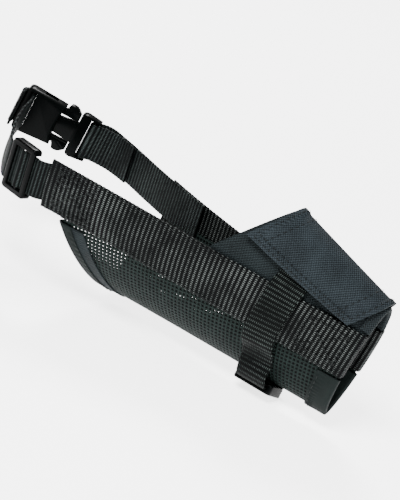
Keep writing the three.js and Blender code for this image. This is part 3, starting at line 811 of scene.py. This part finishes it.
# %% [markdown]
# The right strap is woven through its slider: under the end bars and over the middle one,
# which holds it by friction. Towards the slider's middle bar it rises by a smooth bump.

# %% Make the neck straps
def right_height(x):
    to_slider = blend_of(middle(x), SLIDER_CENTRE[2], smooth(-x, 160, 176))
    return blend_of(to_slider, FEMALE_BAR[2], smooth(-x, 199, -FEMALE_BAR[0]))


def at_slider(distance):
    return SLIDER_CENTRE[:2] + SLIDER_ALONG * distance


right_route = curve_through(
    [sewn_point(-150.0, -1), sewn_point(-162.0, -1), at_slider(-12), at_slider(-9.5),
     at_slider(0), at_slider(9.5), at_slider(12), [-208.5, -22.0],
     FEMALE_BAR[:2] - THROUGH_PLAN * 14, FEMALE_BAR[:2] - THROUGH_PLAN * 6, FEMALE_BAR[:2]],
    500)


def over_middle_bar(route):
    """The strap rises between the slider's end bars, where the middle bar lifts it."""
    from_middle = np.abs((route - SLIDER_CENTRE[:2]) @ SLIDER_ALONG)
    return BAR_RISE * (1 - smooth(from_middle, 0.3, 2.9))


def full_at_bar(plan, count, amount=0.6):
    """Webbing bunches up where it turns round a bar, and fills the slot."""
    reach = length_of(plan[:count])
    wrap = length_of(plan[count - 1:count + WRAP_STEPS])
    end = reach + wrap
    return lambda s: amount * smooth(s, reach - 4, reach) * (1 - smooth(s, end, end + 4))


right_plan = round_bar(right_route, 0.07, over_middle_bar)
right_strap_place, right_length = strap_place(right_plan, right_height, 203, -FEMALE_BAR[0] - 4)
strap_right = band("neck_strap_right_webbing", right_strap_place, right_length, STRAP_WIDTH,
                   STRAP_THICK, STRAP_RIB, None, "strap", ["neck_strap_right"], rib_height=0.16,
                   scallop=0.18, swell=full_at_bar(right_plan, len(right_route)))
in_row([-199, -33, 51])
in_row([-217, -4, 56])
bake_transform(strap_right)


def left_height(x):
    return blend_of(middle(x), MALE_BAR[2], smooth(-x, 145, -MALE_BAR[0]))


left_route = curve_through(
    [sewn_point(-112.0, 1), sewn_point(-126.0, 1), sewn_point(-139.0, 1), sewn_point(-150.0, 1),
     MALE_BAR[:2] - AXIS_PLAN * 5, MALE_BAR[:2]], 500)
left_plan = round_bar(left_route, 0.34)
left_strap_place, left_length = strap_place(left_plan, left_height, 165, -MALE_BAR[0] - 3)
strap_left = band("neck_strap_left_webbing", left_strap_place, left_length, STRAP_WIDTH,
                  STRAP_THICK, STRAP_RIB, "muzzle", "strap", ["neck_strap_left"], rib_height=0.2,
                  scallop=0.22, swell=full_at_bar(left_plan, len(left_route)))
print("neck straps:", round(right_length), "and", round(left_length), "mm")

# %% [markdown]
# ## The nose loop
# A narrower strap goes over the bands and under the pad, and on through its own slider
# under the chin. Its two ends stop a little apart on the left, so the loop isn't closed.
# Its line lies in a plane across the muzzle, and its edges follow the sleeve's taper.

# %% Make the nose loop
LOOP_LEAN, LOOP_LEAN_FROM, LOOP_WIDTH, LOOP_THICK = 0.2, 26.0, 17.0, 1.4
CHIN_ALONG = unit([-0.94, 0.34])
OVER_BAND = LOOP_THICK / 2 + PANEL_HALF + SEWN_GAP * 3 + SIDE_THICK


def loop_lift(turn):
    """Off the panel by its own half thickness, and further where it crosses the bands."""
    from_side = np.abs(np.abs(turn - math.pi) - QUARTER)
    on_panel = LOOP_THICK / 2 + PANEL_HALF + SEWN_GAP
    below = np.abs(turn - math.pi) > QUARTER
    share = np.where(below, smooth(from_side, 0.47, 0.6), smooth(from_side, 0.39, 0.49))
    return blend_of(OVER_BAND, on_panel, share)


loop_turns = np.linspace(2 * math.pi - 0.8, 0.8, 61)
loop_ring = over_sleeve(LOOP_X, loop_turns, loop_lift(loop_turns))[:, 1:]
under_chin = curve_through(
    [loop_ring[-1], [-12.4, 3.6], CHIN_SLIDER + CHIN_ALONG * 9.6, CHIN_SLIDER + CHIN_ALONG * 7.5,
     CHIN_SLIDER, CHIN_SLIDER - CHIN_ALONG * 7.5, CHIN_SLIDER - CHIN_ALONG * 9.5,
     [10.6, -4.4], [11.4, 2.5]], 90)
loop_line = even_steps(np.vstack([loop_ring, under_chin[1:]]), 700)
loop_length = length_of(loop_line)
loop_at = np.linspace(0, loop_length, len(loop_line))
loop_across = left_of(loop_line)


def loop_place(s, w, h):
    """Across the muzzle the strap keeps its line; hug narrows it to the sleeve at each x."""
    y, z = (np.interp(s, loop_at, column) for column in loop_line.T)
    ny, nz = (np.interp(s, loop_at, column) for column in loop_across.T)
    y, z = y + ny * h, z + nz * h
    x = LOOP_X + w + LOOP_LEAN * np.maximum(0, z - LOOP_LEAN_FROM)
    side = np.sign(y)
    above = np.maximum(0, (z - middle(LOOP_X)) / (ridge(LOOP_X) - middle(LOOP_X)))
    wider = (half_width(x, side) + OVER_BAND) / (half_width(LOOP_X, side) + OVER_BAND)
    narrow = blend_of(1.0, wider, smooth(z, 4, 11))
    return np.stack([x, y * narrow, z + above * (ridge(x) - ridge(LOOP_X))], axis=-1)


nose_loop = band("nose_loop", loop_place, loop_length, LOOP_WIDTH, LOOP_THICK, BAND_RIB,
                 "muzzle", "loop", ["nose_loop_strap"], rib_height=0.18, scallop=0.2)
print("nose loop:", round(loop_length), "mm")

# %% [markdown]
# ## Edge tape
# Tape is folded over each rim: a narrow U in section, carried round the rim. The section
# is a line with a half circle in it, and Solidify gives it thickness.

# %% Make the tapes
BACK_TURNS = (-1.1, 1.24)  # how far the tape of the back rim goes to the right and the left


def tape(name, rim, outward, reach, inner, turns, stands_for, finish="binding_tape"):
    """The U runs in along the inside, round the rim by a half circle, and out again."""
    radius = inner + 0.4
    legs = np.linspace(-reach, 0, 9)
    bend = np.linspace(0, math.pi, 9)[1:-1]
    along = np.concatenate([legs, 0.9 * np.sin(bend), legs[::-1]])
    above = np.concatenate([np.full(9, -radius), -radius * np.cos(bend), np.full(9, radius)])
    count = int(abs(turns[1] - turns[0]) * 70)
    turn = np.linspace(*turns, count)[:, None]
    pucker = 0.14 * np.sin(turn * 95) * np.exp(-((along + reach * 0.75) / 1.6) ** 2)
    x = rim_x(rim, turn) + outward * along[None, :]
    points = over_sleeve(x, turn + 0 * x, above * (1 + pucker))
    way = distances_along(points[:, 0])
    round_u = np.concatenate([[0], np.cumsum(np.hypot(np.diff(along), np.diff(above)))])
    uv = np.stack(np.broadcast_arrays(way[:, None], round_u[None, :]), axis=-1)
    piece = piece_from(name, points.reshape(-1, 3),
                       [grid_faces(*points.shape[:2]).reshape(-1, 4)], uv.reshape(-1, 2),
                       "muzzle", finish, stands_for)
    thicken(piece, 0.6)


tape("nose_tape_lower", nose_rim, 1, 11.0, 0.7, (-1.17, 1.17), ["nose_binding_lower"])
tape("nose_tape_upper", nose_rim, 1, 4.0, 0.95, (QUARTER + 0.52, 3 * QUARTER - 0.52),
     ["nose_binding_upper"], "rim_nylon")
tape("back_tape", back_rim, -1, 6.0, 0.7, BACK_TURNS, ["back_binding"])
print("three tapes")

# %% [markdown]
# ### The hem behind the back tape
# In front of the back tape lies a strip of plain cloth, sewn over the edge of the net. It
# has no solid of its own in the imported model, so it stands for nothing.

# %% Make the hem
HEM_LIFT = 0.75  # above the sleeve, in millimetres


def hem_turn(round_it, along):
    return blend_of(*BACK_TURNS, round_it)


def hem_line(inset):
    return lambda z, turn: back_rim(z, turn) + inset


def hem_lift(x, turn, along, round_it):
    return np.full(x.shape, HEM_LIFT)


hem_sheet, hem_points = rim_sheet("back_hem", [hem_line(2.5), hem_line(13.0)], hem_turn, hem_lift,
                                  (14, 90), "top_nylon", "muzzle", [], 0.5)
area_of(hem_points)
print("hem:", round(area_of(hem_points) * 1e4, 1), "square cm")

# %% [markdown]
# ## Plastic parts
# The buckle and sliders are hard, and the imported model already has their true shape, with
# sharp edges. A merged copy keeps the shape, and a bevel rounds every edge by a fraction
# of a millimetre, which is what catches the light on moulded plastic.

# %% Round the moulded parts
def moulded(node, body, radius):
    """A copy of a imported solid, with its doubles merged and its edges rounded."""
    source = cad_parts[node]
    mesh = source.data.copy()
    mesh.name = node + "_moulded"
    shape = bmesh.new()
    shape.from_mesh(mesh)
    bmesh.ops.remove_doubles(shape, verts=shape.verts, dist=2e-6)
    bmesh.ops.dissolve_limit(shape, angle_limit=math.radians(2), verts=shape.verts,
                             edges=shape.edges)
    shape.to_mesh(mesh)
    shape.free()
    mesh.materials.clear()
    mesh.materials.append(FINISHES["acetal"])
    mesh.polygons.foreach_set("use_smooth", np.ones(len(mesh.polygons), bool))
    piece = placed(node + "_moulded", mesh)
    bevel = piece.modifiers.new("edges", "BEVEL")
    bevel.width, bevel.segments, bevel.limit_method = radius * MM, 3, "ANGLE"
    bevel.angle_limit = math.radians(28)
    bevel.harden_normals = True
    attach(piece, body)
    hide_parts(node)
    return piece


MOULDED = {"buckle_male": ("muzzle", 0.5), "buckle_female": ("buckle_socket", 0.5),
           "buckle_prong_upper": ("prong_upper", 0.5), "buckle_prong_lower": ("prong_lower", 0.5),
           "neck_slider": ("neck_slider", 0.5), "chin_slider": ("chin_slider", 0.4)}
for node_name, (body_name, edge_radius) in MOULDED.items():
    rounded = moulded(node_name, body_name, edge_radius)
    print(rounded.name, len(rounded.data.polygons), "faces")

# %% [markdown]
# ## Stitching
# A stitch is a short thread that comes up, runs along and goes down again: a spindle,
# thick in the middle and pointed at both ends. One spindle is worked out as a small set of
# points and copied along every seam.

# %% The stitch helper
STITCH_SIDES, STITCH_RINGS = 6, 4


def spindle():
    """Rings whose radius follows the square root of the sine of the way along."""
    way = np.linspace(0, 1, STITCH_RINGS + 2)[1:-1]
    angle = np.linspace(0, 2 * math.pi, STITCH_SIDES, endpoint=False)
    radius = np.sqrt(np.sin(math.pi * way))[:, None]
    rings = np.stack([way[:, None] * 2 - 1 + 0 * angle, radius * np.cos(angle),
                      radius * np.sin(angle)], axis=-1).reshape(-1, 3)
    points = np.vstack([[-1, 0, 0], rings, [1, 0, 0]])
    sides = grid_faces(STITCH_RINGS, STITCH_SIDES, wrap=True, start=1).reshape(-1, 4)[:, ::-1]
    first = np.arange(STITCH_SIDES) + 1
    last = first + (STITCH_RINGS - 1) * STITCH_SIDES
    start = np.stack([np.zeros_like(first), first, np.roll(first, -1)], axis=1)[:, ::-1]
    end = np.stack([np.full_like(last, len(points) - 1), last, np.roll(last, -1)], axis=1)
    return points, sides, np.vstack([start, end])


def stitches(name, seams, length, gap, radius, rise=0.1):
    """Each seam is (points, outward directions), and gets a spindle every length + gap."""
    template, sides, ends = spindle()
    centres, aheads, outs = [], [], []
    for line, outward in seams:
        way = length_of(line)
        count = max(int(way / (length + gap)), 1)
        steps = distances_along(line)
        spots = (np.arange(count) + 0.5) * way / count
        ahead = unit(np.gradient(line, axis=0))
        centres.append(values_at(spots, steps, line))
        aheads.append(unit(values_at(spots, steps, ahead)))
        outs.append(unit(values_at(spots, steps, outward)))
    centre, ahead, out = (np.vstack(v) for v in (centres, aheads, outs))
    across = unit(np.cross(out, ahead))
    out = np.cross(ahead, across)
    x, y, z = template.T
    arch = 1 - x**2
    points = (centre[:, None] + ahead[:, None] * (x * length / 2)[None, :, None]
              + across[:, None] * (y * radius)[None, :, None]
              + out[:, None] * (z * radius + rise * arch)[None, :, None])
    shift = (np.arange(len(centre)) * len(template))[:, None, None]
    faces = [(sides[None] + shift).reshape(-1, 4), (ends[None] + shift).reshape(-1, 3)]
    uv = np.zeros((points.shape[0] * points.shape[1], 2))
    piece_from(name, points.reshape(-1, 3), faces, uv, "muzzle", "thread")
    print(name, len(centre), "stitches")


# %% Seams on the pad and tapes
def pad_seam(along, round_it, lift=0.95):
    """A line on the pad's outer face, by its shares along and round."""
    along, round_it = np.broadcast_arrays(np.asarray(along, float), np.asarray(round_it, float))
    turn = pad_turn(round_it, along)
    x = blend_of(rim_x(pad_back_rim, turn), rim_x(pad_rim, turn), along)
    return (over_sleeve(x, turn, pad_lift(x, turn, along, round_it) + lift),
            outward_of(x, turn))


span = np.linspace(0.04, 0.96, 160)
pad_rows = [pad_seam(0.035, span), pad_seam(0.965, span), pad_seam(span, 0.022),
            pad_seam(span, 0.978), pad_seam(0.12, span), pad_seam(0.86, span),
            pad_seam(span, 0.055), pad_seam(span, 0.945)]
stitches("pad_stitching", pad_rows, length=2.2, gap=0.8, radius=0.2, rise=0.05)


def tape_seam(rim, outward, reach, lift, turns, face=1):
    """A line along a tape, a little inside its free edge; face is 1 outside, -1 inside."""
    turn = np.linspace(*turns, 160)
    x = rim_x(rim, turn) - outward * reach
    return over_sleeve(x, turn, face * lift), outward_of(x, turn) * face


SEAM_TURNS = (-1.1, 1.1)
tape_rows = [tape_seam(nose_rim, 1, 9.4, 1.5, SEAM_TURNS),
             tape_seam(back_rim, -1, 5.6, 1.5, SEAM_TURNS),
             tape_seam(back_rim, -1, 5.6, 1.5, SEAM_TURNS, face=-1),
             tape_seam(nose_rim, 1, 2.8, 1.75, (QUARTER + 0.55, 3 * QUARTER - 0.55))]
stitches("tape_stitching", tape_rows, length=2.4, gap=0.8, radius=0.2, rise=0.05)

# %% [markdown]
# The webbing is sewn along both edges, and its ends carry dense rows across, with a cross
# in a box where the load is. These threads lie over the ribs.

# %% Seams on the bands
def on_band(place, s, w, thickness, lift=0.12):
    """A line on the outer face of a band, by distance along and across."""
    s, w = np.broadcast_arrays(np.asarray(s, float), np.asarray(w, float))
    height = np.full(s.shape, thickness / 2 + lift)
    top, base = place(s, w, height), place(s, w, height - 1.0)
    return top, unit(top - base)


def box_and_cross(place, s0, s1, w0, w1):
    """The four sides of a box and its two diagonals, and the same again a little inside."""
    line = np.linspace(0, 1, 60)
    found = []
    for inset in (0.0, 0.9):
        a, b, c, d = s0 + inset, s1 - inset, w0 + inset, w1 - inset
        ends = [((a, c), (b, c)), ((b, c), (b, d)), ((b, d), (a, d)), ((a, d), (a, c)),
                ((a, c), (b, d)), ((a, d), (b, c))]
        found += [on_band(place, blend_of(p[0], q[0], line), blend_of(p[1], q[1], line),
                          SIDE_THICK) for p, q in ends]
    return found


face_start = FOLD + math.pi * FACE_LIFT
rows = []
for place, total in ((right_place, right_total), (left_place, left_total)):
    along = np.linspace(face_start + 3, total - 4, 300)
    rows += [on_band(place, along, w, SIDE_THICK) for w in (-11.0, 11.0)]
stitches("band_edge_stitching", rows, length=2.5, gap=0.9, radius=0.22)
boxes = box_and_cross(right_place, face_start + 5, face_start + 27, -8.5, 8.5)
boxes += box_and_cross(left_place, face_start + 5, face_start + 27, -8.5, 8.5)
for step in range(9):
    s_here = right_total - 6.5 - 2.6 * step
    boxes.append(on_band(right_place, s_here + 0.5 * np.sin(np.linspace(0, 18, 60) + step),
                         np.linspace(-9.5, 9.5, 60), SIDE_THICK))
boxes += box_and_cross(right_place, right_total - 27, right_total - 5, -9, 9)
stitches("band_box_stitching", boxes, length=1.9, gap=0.6, radius=0.26, rise=0.15)

strap_rows = []
for step in range(7):
    s_here = np.full(50, left_length - 24 + 2.6 * step)
    strap_rows.append(on_band(left_strap_place, s_here, np.linspace(-8.5, 8.5, 50),
                              -STRAP_THICK, lift=-0.12))
stitches("strap_stitching", strap_rows, length=1.6, gap=0.6, radius=0.22)

# %% [markdown]
# ## Floor and light
# A pale floor meets a pale world, and three large soft lights shape the dark cloth: a key
# from the upper front, a fill from ahead of the nose and a rim light from behind.

# %% Studio
floor_mesh = bpy.data.meshes.new("studio_floor")
FLOOR_HALF, FLOOR_Z = 6.0, -0.0005  # in metres; a hair below the muzzle
floor_corners = [(x * FLOOR_HALF, y * FLOOR_HALF, FLOOR_Z)
                 for x, y in ((-1, -1), (1, -1), (1, 1), (-1, 1))]
floor_mesh.from_pydata(floor_corners, [], [(0, 1, 2, 3)])
floor = placed("studio_floor", floor_mesh)
floor_material = bpy.data.materials.new("studio_floor")
floor_material.use_nodes = True
floor_shader = floor_material.node_tree.nodes["Principled BSDF"]
floor_shader.inputs["Base Color"].default_value = (0.93, 0.93, 0.93, 1)
floor_shader.inputs["Roughness"].default_value = 0.9
floor_shader.inputs["Emission Color"].default_value = (1, 1, 1, 1)
floor_shader.inputs["Emission Strength"].default_value = 2.8
floor_mesh.materials.append(floor_material)

world = bpy.data.worlds.new("studio")
bpy.context.scene.world = world
world.use_nodes = True
world.node_tree.nodes["Background"].inputs["Color"].default_value = (1, 1, 1, 1)
world.node_tree.nodes["Background"].inputs["Strength"].default_value = 0.25


def soft_light(name, place, power, size):
    """An area light that points at the middle of the muzzle."""
    light = bpy.data.lights.new(name, "AREA")
    light.energy, light.size = power, size
    lamp = placed(name, light)
    back = unit(np.asarray(place, float) - np.array([0, 0, 0.05]))
    right = unit(np.cross([0, 0, 1.0], back))
    lamp.matrix_world = camera_matrix(place, right, np.cross(back, right), back).T


soft_light("key", [0.1, -0.8, 1.2], 45, 0.5)
soft_light("fill", [1.1, -0.4, 0.6], 10, 0.5)
soft_light("rim", [-0.6, 0.8, 1.0], 30, 0.4)
